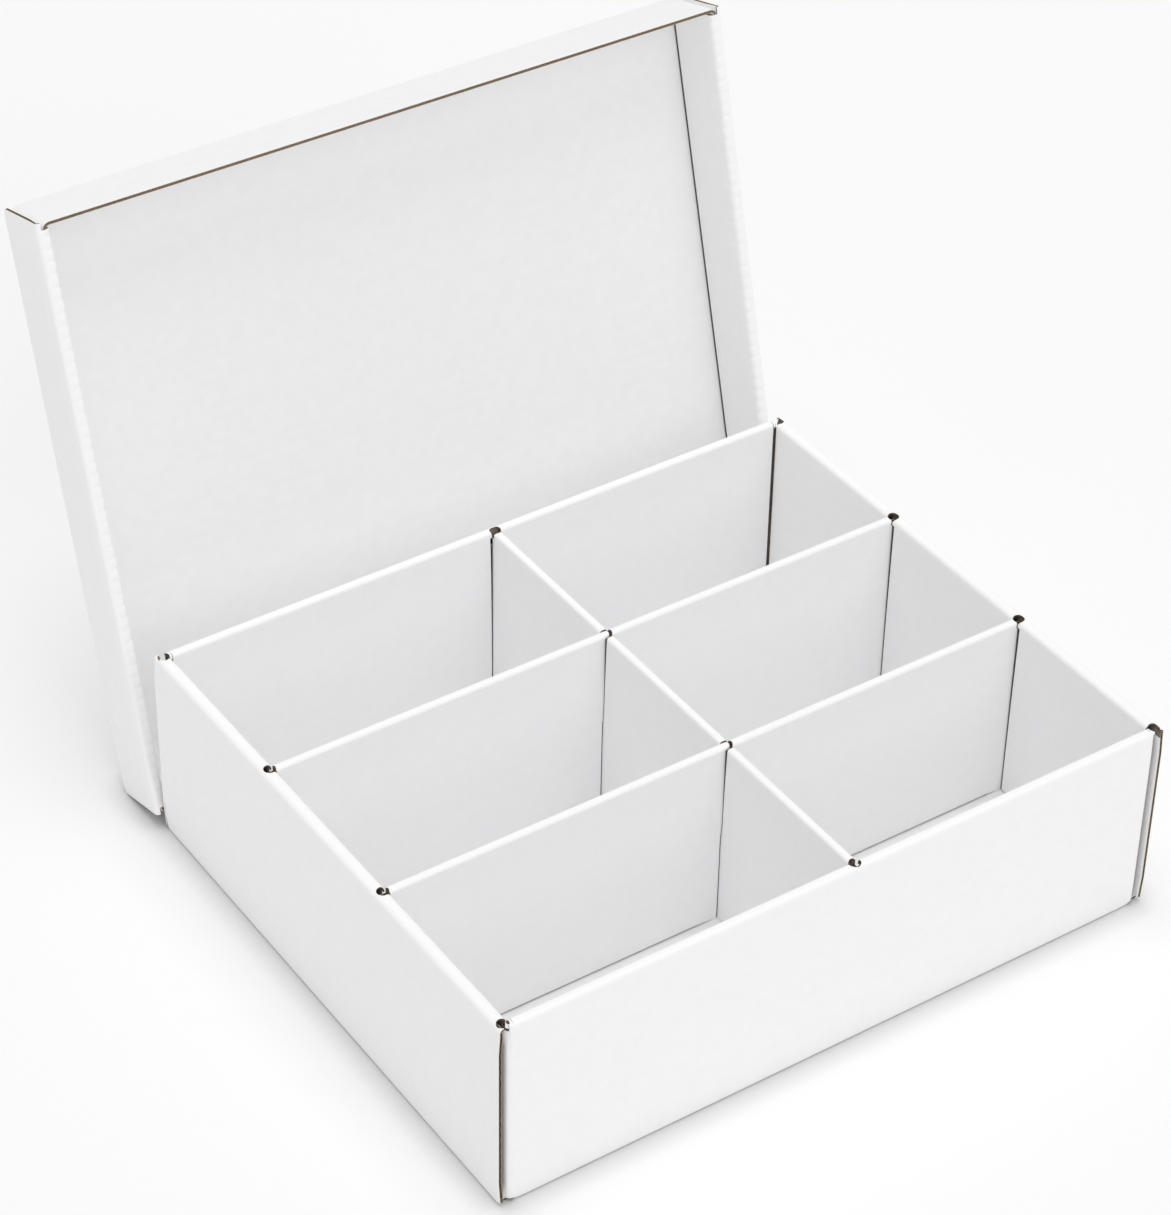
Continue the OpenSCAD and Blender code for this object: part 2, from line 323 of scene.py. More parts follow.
def card_sheet(place, w, l, state, holes, flute, rolled, ease=None, hidden=None,
               painted_shade=None, hollow=recess, inner_painted_shade=None):
    """A sheet of card on a grid of lines w, along a wall, and l, up it, over its rim and down.
    place gives the point of w, l and a depth below the outer liner. state says of each cell, also
    just outside the grid, whether it is solid, cut away or goes on in another sheet. A round hole
    drops the cells inside it, and the grid's corners at its edge are drawn onto it. ease then
    moves corners along the sheet, the outer liner's (0) and the inner's (1) each in its own way.
    Every cut edge gets its two liners, a recess between them, hollow deep, and, where the grid is
    fine enough, the fluting: a sine wave across the board, of the place that flute gives. rolled
    says how far a length lies on a rim; folds are crushed thinner there, and cut edges pinched.
    hidden says where the inner liner is brown, a painted shade between the plies; the other two
    masks say how far painted shade darkens the outer and the inner liner. Returns points, faces,
    finishes, board map, roll and painted shade."""
    many_w, many_l = len(w), len(l)
    grid_w, grid_l = np.meshgrid(w, l, indexing="ij")
    wide = np.concatenate([[w[0] - outside_cell], w, [w[-1] + outside_cell]])
    long = np.concatenate([[l[0] - outside_cell], l, [l[-1] + outside_cell]])
    mid_w, mid_l = np.meshgrid((wide[1:] + wide[:-1]) / 2, (long[1:] + long[:-1]) / 2,
                               indexing="ij")
    cells = state(mid_w, mid_l)

    def touches(mask):
        """Grid corners that have at least one of these cells around them."""
        return mask[:-1, :-1] | mask[1:, :-1] | mask[:-1, 1:] | mask[1:, 1:]

    for hole, above_foot in holes:
        within = (hole(mid_w, mid_l) < 0) & above_foot(mid_l)
        cells = np.where(within & (cells == solid), cut_away, cells)
        rim = touches(within) & touches(cells == solid) & (
            np.abs(hole(grid_w, grid_l)) < draw_from)
        for _ in range(draw_times):
            off = hole(grid_w, grid_l)
            slope_w = (hole(grid_w + slope_step, grid_l) - off) / slope_step
            slope_l = (hole(grid_w, grid_l + slope_step) - off) / slope_step
            step = off / np.maximum(slope_w ** 2 + slope_l ** 2, 0.1)
            move_w = np.clip(step * slope_w, -draw_step, draw_step)
            move_l = np.clip(step * slope_l, -draw_step, draw_step)
            grid_w, grid_l = grid_w - np.where(rim, move_w, 0), grid_l - np.where(rim, move_l, 0)
    kept = cells == solid

    number = np.arange(many_w * many_l).reshape(many_w, many_l)
    corners = [number[:-1, :-1], number[1:, :-1], number[1:, 1:], number[:-1, 1:]]
    here = kept[1:-1, 1:-1]
    top = np.stack([c[here] for c in corners], 1)
    flat_w, flat_l = grid_w.ravel(), grid_l.ravel()

    # direction from each corner into the card: the sum towards the middles of its kept cells
    into_w, into_l = np.zeros(number.size), np.zeros(number.size)
    centre_w, centre_l = flat_w[top].mean(1), flat_l[top].mean(1)
    for k in range(4):
        np.add.at(into_w, top[:, k], np.sign(np.round(centre_w - flat_w[top[:, k]], 3)))
        np.add.at(into_l, top[:, k], np.sign(np.round(centre_l - flat_l[top[:, k]], 3)))
    size = np.maximum(np.hypot(into_w, into_l), 1e-9)
    into_w, into_l = into_w / size, into_l / size
    back_w, back_l = flat_w, flat_l
    if ease is not None:
        (flat_w, flat_l), (back_w, back_l) = ease(flat_w, flat_l, 0), ease(flat_w, flat_l, 1)

    sides = [(0, 1, cells[1:-1, :-2]), (1, 2, cells[2:, 1:-1]),
             (2, 3, cells[1:-1, 2:]), (3, 0, cells[:-2, 1:-1])]
    edge = np.concatenate([
        np.stack([corners[k][here & (beyond == cut_away)] for k in (a, b)], 1)
        for a, b, beyond in sides])
    ends, edge = np.unique(edge, return_inverse=True)
    edge = edge.reshape(-1, 2)
    end_w, end_l, dir_w, dir_l = flat_w[ends], flat_l[ends], into_w[ends], into_l[ends]
    lean_w, lean_l = back_w[ends] - end_w, back_l[ends] - end_l
    cut = np.zeros(number.size)
    cut[ends] = 1.0

    def depth(share, at, on_cut):
        """Depth of a share of the card, thinner over a fold and towards a cut edge."""
        thin = card * (1 - crushed * rolled(at))
        return thin * (0.5 + (share - 0.5) * (1 - 2 * pinch * on_cut))

    def ring(share, back):
        """Points of every cut edge at a share of the thickness, a way back into the card."""
        at_w = end_w + share * lean_w + back * dir_w
        at_l = end_l + share * lean_l + back * dir_l
        return place(at_w, at_l, depth(share, end_l, 1.0))

    across = flute(end_w, end_l)
    wave = 0.5 + (0.5 - liner - fluting) * np.sin(2 * np.pi * across / flute_pitch)
    deep, near = hollow * np.ones(len(ends)), flute_back + flute_dragged * rolled(end_l)
    rings = [ring(0, 0), ring(liner, 0), ring(liner, deep), ring(1 - liner, deep),
             ring(1 - liner, 0), ring(1, 0)]
    rings += [ring(wave - fluting, deep), ring(wave - fluting, near),
              ring(wave + fluting, near), ring(wave + fluting, deep)]
    outer = place(flat_w, flat_l, depth(0, flat_l, cut))
    inner = place(back_w, back_l, depth(1, back_l, cut))
    count, per_ring = number.size, len(ends)
    fine = np.abs(across[edge[:, 0]] - across[edge[:, 1]]) < flute_step

    def strip(first, second, which):
        """Faces between two rings, along those cut edges."""
        a, b = edge[which, 0], edge[which, 1]
        start, stop = 2 * count + first * per_ring, 2 * count + second * per_ring
        return np.stack([start + a, stop + a, stop + b, start + b], 1)

    every = np.ones(len(edge), bool)
    quads = [top, top[:, ::-1] + count]
    finish = [outer_face, inner_face]
    # the inner liner between plies is drawn grey-brown, a painted shade
    if hidden is not None:
        finish[1] = np.where(hidden(centre_w, centre_l), painted_shade_face, inner_face)
    for first, kind, which in [(0, outer_edge, every), (1, flutes, every), (2, flutes, every),
                               (3, flutes, every), (4, inner_edge, every),
                               (6, flutes, fine), (7, flutes, fine), (8, flutes, fine)]:
        quads.append(strip(first, first + 1, which))
        finish.append(kind)
    spots = np.concatenate([outer, inner, *rings])
    many = len(rings)
    u = np.concatenate([flute(flat_w, flat_l)] * 2 + [across] * many)
    v = np.concatenate([flat_l + flat_w] * 2 + [end_l + end_w] * many)
    roll = np.concatenate([rolled(flat_l)] * 2 + [np.zeros(per_ring)] * many)
    # painted shade on the outer and the inner liner, where the masks ask for it
    painted_shade_amount = np.zeros(len(spots))
    if painted_shade is not None:
        painted_shade_amount[:count] = painted_shade(flat_w, flat_l)
    if inner_painted_shade is not None:
        painted_shade_amount[count : 2 * count] = inner_painted_shade(back_w, back_l)
    kinds = np.concatenate([np.full(len(q), k) for q, k in zip(quads, finish)])
    return spots, np.concatenate(quads), kinds, np.stack([u, v], 1), roll, painted_shade_amount


merge_within = 2e-6
sharp_from = math.radians(38)


def card_piece(name, sheets, node):
    """Joins the sheets of one blank into a mesh in metres, with its board map in centimetres,
    merges the corners they share, marks the cut edges sharp, and lets the piece stand for its CAD
    node."""
    spots, faces, kinds, board, roll, painted_shade_amount = zip(*sheets)
    start = np.cumsum([0] + [len(s) for s in spots])
    quads = np.concatenate([f + n for f, n in zip(faces, start)])
    spots, kinds = np.concatenate(spots) * 0.001, np.concatenate(kinds)
    board = np.concatenate(board) * 0.1
    marks = {"roll": np.concatenate(roll), "painted_shade": np.concatenate(painted_shade_amount)}
    mesh = bpy.data.meshes.new(name)
    mesh.vertices.add(len(spots))
    mesh.vertices.foreach_set("co", spots.astype(np.float32).ravel())
    mesh.loops.add(quads.size)
    mesh.loops.foreach_set("vertex_index", quads.astype(np.int32).ravel())
    mesh.polygons.add(len(quads))
    mesh.polygons.foreach_set("loop_start", np.arange(0, quads.size, 4, dtype=np.int32))
    mesh.polygons.foreach_set("material_index", kinds.astype(np.int32))
    mesh.polygons.foreach_set("use_smooth", np.ones(len(quads), bool))
    layer = mesh.uv_layers.new(name="board")
    layer.data.foreach_set("uv", board[quads.ravel()].astype(np.float32).ravel())
    for mark, amount in marks.items():
        mesh.attributes.new(mark, "FLOAT", "POINT").data.foreach_set(
            "value", amount.astype(np.float32))
    mesh.update()
    mesh.validate()
    work = bmesh.new()
    work.from_mesh(mesh)
    bmesh.ops.remove_doubles(work, verts=work.verts, dist=merge_within)
    loose = [v for v in work.verts if not v.link_faces]
    bmesh.ops.delete(work, geom=loose, context="VERTS")
    work.to_mesh(mesh)
    work.free()
    mesh.set_sharp_from_angle(angle=sharp_from)
    for finish in (coated_liner, inner_liner, liner_edge, kraft_fluting, liner_core,
                   shade_brown_liner):
        mesh.materials.append(finish)
    piece = bpy.data.objects.new(name, mesh)
    bpy.context.scene.collection.objects.link(piece)
    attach(piece, "root")
    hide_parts(node)
    return piece


# a smooth, half-matt white outside, and a duller, slightly rougher white inside that shows the
# flutes more; a cut shows a pale line for the outer liner, then dark fluting and a tan line for
# the inner one; between two plies the liner is drawn mottled grey-brown, a painted shade for the
# hollows inside walls and dividers
coated_liner = white_liner("Clay-coated white liner", "#FAFAFA", "#F8F8F9", "#FCFCFC", 0.62, 0.020)
inner_liner = white_liner("Bleached uncoated liner", "#F8F8F8", "#F6F6F6", "#FCFCFC", 0.75, 0.045)
liner_edge = cut_card("Cut edge of white-top liner", "#F3EDE4", "#D9CDBF", 0.7)
shade_brown_liner = cut_card("Grey-brown liner, painted shade between plies", "#8C8378", "#766C61", 4.0)
liner_core = cut_card("Brown core of the inner liner", "#B5A592", "#9C8B77", 0.7)
kraft_fluting = cut_card("Brown kraft fluting", "#9A8976", "#6E5D4B", 0.9)

# floor of the tray: the blank's middle, with a slot beside the wall for each lock tab
floor_x, floor_y = tray_length / 2 - crease, tray_width / 2 - crease
left_place = (divider_shift - divider / 2 - tray_length / 2 + short_wall) / 2
right_place = (divider_shift + divider / 2 + tray_length / 2 - short_wall) / 2
outer_row = (row_place + divider / 2 + tray_width / 2 - long_wall) / 2
turn_x = tray_length / 2 - tab_inset - upright_fold
slot_y = tray_width / 2 - long_wall - lock_play
slot_x = (tray_length / 2 - short_wall - lock_play,
          tray_length / 2 - short_wall + card + lock_play)
half_slot = lock_width / 2 + lock_play


def floor_state(x, y):
    """Slots beside the long walls at the middles of both flaps, and beside the short walls at
    the middles of three rows; the floor goes on into the walls except at its corners."""
    beside_long = (np.abs(y) > slot_y) & (
        (np.abs(x - left_place) < half_slot) | (np.abs(x - right_place) < half_slot))
    beside_short = (np.abs(x) > slot_x[0]) & (np.abs(x) < slot_x[1]) & (
        (np.abs(y) < half_slot) | (np.abs(np.abs(y) - outer_row) < half_slot))
    past_long, past_short = np.abs(y) > floor_y, np.abs(x) > floor_x
    return np.select(
        [past_long & (np.abs(x) > turn_x), past_long, past_short, beside_long | beside_short],
        [cut_away, goes_on, goes_on, cut_away], solid)


slots_x = [p + s * half_slot for p in (left_place, right_place) for s in (-1, 1)]
slots_y = [p + s * half_slot for p in (-outer_row, 0, outer_row) for s in (-1, 1)]
tray_sheets = [card_sheet(
    lambda x, y, below: np.stack([x, -y, below + 0 * x], -1),
    lines(-floor_x, floor_x, 16, [*slots_x, *slot_x, -slot_x[0], -slot_x[1], -turn_x, turn_x]),
    lines(-floor_y, floor_y, 16, [*slots_y, -slot_y, slot_y]),
    floor_state, [], upright_flutes, unrolled)]


# at the edge of a slit or slot: how far beside it the card gives way, and how far from it the grid
# is fine
giving = 3.0
beside_slit = 3.6


def sprung(w, centre, low, high, inner):
    """Opens a slit or slot at a centre: grid corners below and above it move away by low and
    high, less and less beside it. The rule cuts aslant, so the inner liner moves a fifth as far."""
    off = w - centre
    gap = np.where(off < 0, -low, high) * (0.2 if inner else 1.0)
    return w + gap * np.clip(1 - (np.abs(off) - slit / 2) / giving, 0, 1) * (
        np.abs(off) > slit / 2 - 0.01)


def parted(centres, first, last, gaps):
    """Slits of a flap spring open by gaps[0] at the last length and gaps[1] at the first, as the
    square of the way there."""
    def ease(w, l, inner):
        way = np.clip((last - l) / (last - first), 0, 1) ** 2
        gap = (gaps[0] + (gaps[1] - gaps[0]) * way) * (l > first - 0.01)
        for centre in centres:
            w = sprung(w, centre, gap, gap, inner)
        return w, l
    return ease


# long walls: rolled over in two tight creases, with a slit and a punched relief for the centre
# divider, and a tab at each end that turns the corner on a soft upright fold; the rim reaches a
# little over the fold and stops short of the tray's end, round a relief set in from both faces
rim_short = 5.0
corner_x, corner_y = 3.4, 3.0
straight_in = 1.5
# painted shade on the soft corner fold: how dark, from where along its arc, and over how far
fold_shade, fold_shade_start, fold_shade_reach = 0.75, 3.0, 2.0
flap_step = 0.5
long_plan = centred(walk((tab_inset - tray_length / 2, tab_length - tray_width / 2), -90, 1,
                         [(tab_length - upright_fold,), (upright_fold, 90), (2 * turn_x,),
                          (upright_fold, 90), (tab_length - upright_fold,)]))
long_end = long_plan[0][-1]
rim_plan = centred(walk((-tray_length / 2, -tray_width / 2), 0, 1, [(tray_length,)]))
long_section = walk((crease, 0), 180, -1,
                    [(crease, 90), (tray_height - tight - crease,), (tight, 90),
                     (long_wall - 2 * tight,), (tight, 90),
                     (tray_height - tight - flap_foot,), (flap_foot - lock_foot,)])
quarter, bend, corner_arc = (radius * math.pi / 2 for radius in (crease, tight, upright_fold))
long_roll = quarter + tray_height - tight - crease
long_over = long_roll + bend + long_wall - 2 * tight
long_flap = long_over + bend
long_foot = long_flap + tray_height - tight - flap_foot
long_lock = long_foot + flap_foot - lock_foot
flap_x = tray_length / 2 - short_wall - flap_gap
rim_x = tray_length / 2 - rim_short
long_shoulder = quarter + corner_top - crease
long_slit = long_flap + tray_height - tight - slit_top
rim_from, rim_to = long_roll - (crease - tight), long_flap + (crease - tight)
long_lines = lines(0, long_lock, 9,
                   [quarter, long_shoulder, rim_from, long_roll, long_over, long_flap, rim_to,
                    long_slit, long_foot],
                   [(0, quarter, fold_step), (rim_from, rim_to, rim_step),
                    (rim_to, long_slit, flap_step)])


def between_plies(w, l):
    """The whole back of a sheet lies inside a wall or a divider, where the liner is drawn brown as
    painted shade.
    """
    return np.full(w.shape, True)


def over_rim(first, last):
    """1 over a rolled rim between two lengths of its section, fading out over 2 mm at each."""
    return lambda l: np.interp(l, [first - 1.6, first + 0.4, last - 0.4, last + 1.6],
                               [0, 1, 1, 0])


def rim_end(turned):
    """Place of the rim's own end: it leaves the corner fold at the rim's foot and runs straight
    on a little above it, by a share that grows as the square of a sine."""
    round_fold = folded(long_plan, long_section, turned)
    straight = folded(rim_plan, long_section, turned)

    def place(w, l, below):
        share = np.sin(np.clip((l - rim_from) / straight_in, 0, 1) * np.pi / 2)[..., None] ** 2
        return (1 - share) * round_fold(w, l, below) + share * straight(w, l, below)

    return place


def shaded_corner_fold(w, l):
    """Painted shade in the crevice: the soft corner fold is darker beside the raw end, more and
    more along its arc.
    """
    arc = np.abs(w) - turn_x
    return np.where(l < rim_from, fold_shade * np.clip((arc - fold_shade_start) / fold_shade_reach, 0, 1), 0)


for turned in (0, 180):
    shift = divider_shift if turned == 0 else -divider_shift
    locks = [p if turned == 0 else -p for p in (left_place, right_place)]

    def long_state(w, l):
        """The crease ends where the corner folds begin; above the tabs the roll ends, or goes on
        in the rim's own end; the slit parts the flap; below the flap only lock tabs go on."""
        in_lock = sum(np.abs(w - p) < lock_width / 2 for p in locks) > 0
        return np.select(
            [(l < 0) & (np.abs(w) < turn_x), l < quarter * (np.abs(w) > turn_x),
             (l > rim_from) & (l < rim_to) & (np.abs(w) > flap_x),
             (l > rim_to) & (np.abs(w) > flap_x), (l > long_shoulder) & (np.abs(w) > rim_x),
             (l > long_slit) & (np.abs(w - shift) < slit / 2),
             (l > long_foot) & ~in_lock, (np.abs(w) > long_end) | (l > long_lock)],
            [goes_on, cut_away, goes_on] + 5 * [cut_away], solid)

    def rim_end_state(w, l):
        """The end of the rim: it goes on towards the middle and down the outer ply."""
        return np.select([(np.abs(w) > rim_x) | (l > rim_to), (np.abs(w) < flap_x),
                          l < rim_from], [cut_away, goes_on, goes_on], solid)

    tray_sheets.append(card_sheet(
        folded(long_plan, long_section, turned),
        lines(-long_end, long_end, 7,
              [*(p + s * lock_width / 2 for p in locks for s in (-1, 1)), -flap_x, flap_x, -rim_x,
               rim_x, -turn_x, turn_x, shift - slit / 2, shift + slit / 2],
              [(shift - beside_slit, shift + beside_slit, cut_step),
               (turn_x, turn_x + corner_arc, cut_step),
               (-turn_x - corner_arc, -turn_x, cut_step)]),
        long_lines, long_state, [punched(long_section, shift, long_wall - relief_back, slit_top)],
        upright_flutes, over_rim(long_roll, long_flap),
        parted([shift], long_slit, long_foot, (0.3, 1.0)), between_plies, shaded_corner_fold))
    for side in (-1, 1):
        tray_sheets.append(card_sheet(
            rim_end(turned),
            np.sort(side * np.linspace(flap_x, rim_x, 7)),
            long_lines[(long_lines > rim_from - 1e-6) & (long_lines < rim_to + 1e-6)],
            rim_end_state,
            [punched(long_section, side * (tray_length / 2 - corner_x), corner_y, 0)],
            upright_flutes, over_rim(long_roll, long_flap), None, between_plies))

# short walls: creased twice at the rim, because the corner tabs stand between the two plies; the
# outer ply's ends are cut flush with the long walls, show the flutes in section, and spring out
# a little from the corner; a strip beside each raw end is a finer sheet of its own
strip_width, strip_step = 1.4, 0.6
strip_below_rim = 3.0
flare, flare_length, flare_held = 0.8, 14.0, 12.0
looked_into = 12.0
brown_below_rim = 4.0
short_section = walk((crease, 0), 180, -1,
                     [(crease, 90), (tray_height - 2 * crease,), (crease, 90),
                      (short_wall - 2 * crease,), (crease, 90),
                      (tray_height - crease - flap_foot,), (flap_foot - lock_foot,)])
half_width = tray_width / 2
short_plan = centred(walk((-half_width, -tray_length / 2), 0, 1, [(tray_width,)]))
short_rim = quarter + tray_height - 2 * crease
short_flat = short_rim + quarter
short_over = short_flat + short_wall - 2 * crease
short_flap = short_over + quarter
short_foot = short_flap + tray_height - crease - flap_foot
short_lock = short_foot + flap_foot - lock_foot
short_slit = short_flap + tray_height - crease - slit_top
flap_y = half_width - long_wall - flap_gap
edge_strip = half_width - strip_width
strip_top = short_rim - strip_below_rim
short_back = relief_back + (short_wall - long_wall) / 2


def flared(place):
    """The raw ends of the short walls' outer plies spring outwards over their last stretch, as the
    square of the way; the crease and the rim hold them at foot and top."""
    def swung(w, l, below):
        way = np.clip((np.abs(w) - half_width + flare_length) / flare_length, 0, 1) ** 2
        free = np.interp(l, [quarter, quarter + flare_held, short_rim - flare_held, short_rim],
                         [0, 1, 1, 0])
        return place(w, l, below - flare * way * free)
    return swung


def level_flutes(w, l):
    """The flutes lie level in a short wall, so the place across them is the height, counted from
    the middle of the floor."""
    return l + tray_length / 2 + 0 * w


def hidden_in_wall(w, l):
    """Brown as painted shade inside the wall and under its rim, but white where one looks in beside
    a raw end.
    """
    return (np.abs(w) < half_width - looked_into) | (l > short_rim - brown_below_rim)


for turned in (-90, 90):

    def short_state(w, l):
        """The crease stops short of the corner; past the outer ply the flap is narrower, with two
        slits; beside the raw ends a strip is left for the finer sheets."""
        in_lock = (np.abs(w) < lock_width / 2) | (
            np.abs(np.abs(w) - outer_row) < lock_width / 2)
        return np.select(
            [(l < 0) & (np.abs(w) < floor_y), (l < quarter) & (np.abs(w) > floor_y),
             (l < strip_top) & (np.abs(w) > edge_strip),
             (l > short_flat) & (np.abs(w) > flap_y),
             (l > short_slit) & (np.abs(np.abs(w) - row_place) < slit / 2),
             (l > short_foot) & ~in_lock, (np.abs(w) > half_width) | (l > short_lock)],
            [goes_on, cut_away, goes_on] + 4 * [cut_away], solid)

    def strip_state(w, l):
        """The strip is cut at the tray's corner and at its foot, and goes on elsewhere."""
        return np.select([(np.abs(w) > half_width) | (l < quarter),
                          (np.abs(w) < edge_strip) | (l > strip_top)],
                         [cut_away, goes_on], solid)

    rows = [s * row_place + e * slit / 2 for s in (-1, 1) for e in (-1, 1)]
    locks = [p + s * lock_width / 2 for p in (-outer_row, 0, outer_row) for s in (-1, 1)]
    tray_sheets.append(card_sheet(
        flared(folded(short_plan, short_section, turned)),
        lines(-half_width, half_width, 12,
              [*rows, *locks, -floor_y, floor_y, -flap_y, flap_y, -edge_strip, edge_strip],
              [*((s * row_place - beside_slit, s * row_place + beside_slit, cut_step)
                 for s in (-1, 1)),
               (-half_width, -flap_y, cut_step), (flap_y, half_width, cut_step)]),
        lines(0, short_lock, 9,
              [quarter, strip_top, short_rim, short_flat, short_over, short_flap, short_slit,
               short_foot],
              [(0, quarter, fold_step), (strip_top, short_rim, strip_step),
               (short_rim, short_flap, cut_step), (short_flap, short_slit, strip_step)]),
        short_state,
        [punched(short_section, s * at_w, at_depth, slit_top) for s in (-1, 1)
         for at_w, at_depth in ((row_place, short_wall - short_back),
                                (half_width - corner_y, corner_x))],
        level_flutes, over_rim(short_rim, short_flap),
        parted([-row_place, row_place], short_slit, short_foot, (0.5, 1.3)), hidden_in_wall))
    for side in (-1, 1):
        tray_sheets.append(card_sheet(
            flared(folded(short_plan, short_section, turned)),
            np.sort(side * np.linspace(edge_strip, half_width, 3)),
            lines(quarter, strip_top, strip_step), strip_state, [],
            level_flutes, over_rim(short_rim, short_flap)))

card_piece("tray_card", tray_sheets, "base_tray")


# The dividers: three strips of the same card folded double over a rim with two tight creases. The
# centre one has slots open at the top, the row dividers slots open at the foot with a relief
# punched in the rim, so they half lap and stand flush. Their ends pass under the walls' rims.
divider_section = walk((0, card), 90, -1,
                       [(tray_height - tight - card,), (tight, 90), (divider - 2 * tight,),
                        (tight, 90), (tray_height - tight - card,)])
apex = tray_height - tight - card + bend + divider / 2 - tight
divider_end = 2 * apex
lap = card + (tray_height - card) / 2
shallow = tray_height - 2.2

# the foot is cut hollow, up to its full height between 6 and 11 mm from each place it stands on
foot_relief = 0.9
foot_stand, foot_slope = 6.0, 5.0

# a row divider's relief at a crossing: radius and place of the disc that was left standing in it
left_radius, left_aside = 3.3, 2.3

# how far the grid is fine beyond a notch, and down from the top of a rim
beside_notch, down_from_top = 2.6, 4.4


def above(height):
    """Length from the middle of the rim down to a height on either ply."""
    return divider / 2 - tight + bend + tray_height - tight - height


def divider_lines(half, reach, cuts):
    """Grid lines of a divider: close together at its ends and crossings and over the rim."""
    ends = [s * (half - d) for s in (-1, 1) for d in (0, reach, reach - slit_play)]
    fine = [(c - beside_slit, c + beside_slit, cut_step) for c in cuts]
    fine += [(-half, -half + reach + beside_notch, cut_step),
             (half - reach - beside_notch, half, cut_step)]
    over = above(tray_height - down_from_top)
    crossings = [c + s * wide / 2 for c in cuts for s in (-1, 1) for wide in (slit, divider)]
    return (lines(-half, half, 6, [*ends, *crossings], fine),
            lines(0, divider_end, 9,
                  [*(apex + s * above(h) for h in (lap, notch_top, shallow) for s in (-1, 1)),
                   apex, 0.8, divider_end - 0.8],
                  [(apex - over, apex + over, rim_step)]))


def divider_card(name, node, half, wall, cuts, from_top, turned, offset, gaps):
    """One divider along the local X axis: its plies stand back to back, slots and notches are cut
    through both, and it is turned about Z and set aside by offset across its length. gaps are how
    far the slots stand open at half height, and at their mouth below and above each cut. Its foot
    is cut hollow between the places that it stands on."""
    reach = wall + slit_play - crease
    plan = centred(walk((-half, offset - divider / 2), 0, 1, [(2 * half,)]))
    stand = [-half, *sorted(cuts), half]

    def state(w, l):
        """Notched above at both ends; slots run from the top or from the foot to half height."""
        down = np.abs(l - apex)
        notch = (down < above(notch_top)) & (np.abs(w) > half - reach)
        crossing = sum(np.abs(w - c) < slit / 2 for c in cuts) > 0
        slot = crossing & ((down < above(lap)) if from_top else (down > above(lap)))
        outside = (l < 0) | (l > divider_end) | (np.abs(w) > half)
        return np.where(notch | slot | outside, cut_away, solid)

    def ease(w, l, inner):
        """Slots open as the square of the way to their mouth; the foot lifts off the floor."""
        down = np.abs(l - apex)
        way = (above(lap) - down) / above(lap)
        if not from_top:
            way = (down - above(lap)) / (apex - above(lap))
        share, begun = np.clip(way, 0, 1) ** 2, way > -0.02
        for cut in cuts:
            w = sprung(w, cut, *((gaps[0] + (gap - gaps[0]) * share) * begun for gap in gaps[1:]),
                       inner)
        near = np.min([np.abs(w - place) for place in stand], axis=0)
        lift = foot_relief * np.clip((near - foot_stand) / foot_slope, 0, 1)
        return w, l - np.sign(l - apex) * lift * np.clip((down - apex + 4) / 4, 0, 1)

    def painted_shade(w, l):
        """Painted shade on the faces that stand inside a wall's slit, or in the other dividers'
        slots.
        """
        down = np.abs(l - apex)
        inside = np.abs(w) > half - wall + crease + 0.05
        crossing = sum(np.abs(w - c) < divider / 2 - 0.05 for c in cuts) > 0
        rides = down > above(lap) if from_top else down < above(lap)
        return ((inside | (crossing & rides)) & (down > above(tray_height - tight))).astype(float)

    def half_moon(cut):
        """The relief of a row divider at a crossing: most of it was left standing when it was
        punched, so only a crescent at one side of the centre divider is open."""
        whole, foot = punched(divider_section, cut, divider / 2, shallow)

        def distance(w, l):
            depth = along(divider_section, l)[0]
            left = left_radius - np.hypot(w - cut + left_aside, depth - divider / 2)
            return np.maximum(whole(w, l), left)

        return distance, foot

    back = relief_back + (wall - long_wall) / 2
    holes = [punched(divider_section, s * (half - wall + crease + back), divider / 2, notch_top)
             for s in (-1, 1)]
    if not from_top:
        holes += [half_moon(cut) for cut in cuts]
    rim_half = above(tray_height - tight)
    card_piece(name, [card_sheet(
        folded(plan, divider_section, turned), *divider_lines(half, reach, cuts), state, holes,
        upright_flutes, over_rim(apex - rim_half, apex + rim_half), ease, between_plies,
        painted_shade)], node)


divider_card("centre_divider_card", "centre_divider", tray_width / 2 - crease, long_wall,
             [-row_place, row_place], True, 90, -divider_shift, (0.2, 1.5, 0.1))
divider_card("front_divider_card", "front_row_divider", tray_length / 2 - crease, short_wall,
             [divider_shift], False, 0, -row_place, (0.2, 0.3, 0.3))
divider_card("rear_divider_card", "rear_row_divider", tray_length / 2 - crease, short_wall,
             [divider_shift], False, 0, row_place, (0.2, 0.3, 0.3))


# The lid: one blank like the tray's, but with its flutes along X. The long walls are one ply with
# a raw brown rim, the end walls are rolled over the corner tabs. It stands on the crease of its
# lower wall, leaning back, with the open side towards the tray.
lid_depth = 36.0
lid_end = 6.4
lid_play = 0.8
lid_seam = 1.1
lid_flap_gap = 1.4
lid_tab = 60.0
lid_inset = card + 0.2
lid_recess = 0.3
curl_over = 0.2
white_beside = 4.0

# the flutes run 12 mm in a metre off square, and the end rims are scalloped by them
lid_skew = 0.012
scallop_depth = 0.28

# how the lid stands: its lean, its gap to the tray, and how far right of the tray's middle it is
lean = math.radians(15.0)
behind, aside = 0.5, 3.0
lid_length = tray_length + 2 * (lid_end + lid_play)
lid_width = tray_width + 2 * (card + lid_play)
stand_y = tray_width / 2 + behind + lid_depth * math.cos(lean)
stand_z = -crease * (math.cos(lean) + math.sin(lean) - 1)
tip = np.array(Matrix.Rotation(math.pi / 2 - lean, 3, "X"))
stand = (tip, tip @ np.array([0, lid_width / 2, 0]) + np.array([aside, stand_y, stand_z]))

panel_x, panel_y = lid_length / 2 - crease, lid_width / 2 - crease
lid_turn = lid_length / 2 - lid_inset - upright_fold
flap_face = lid_length / 2 - lid_end


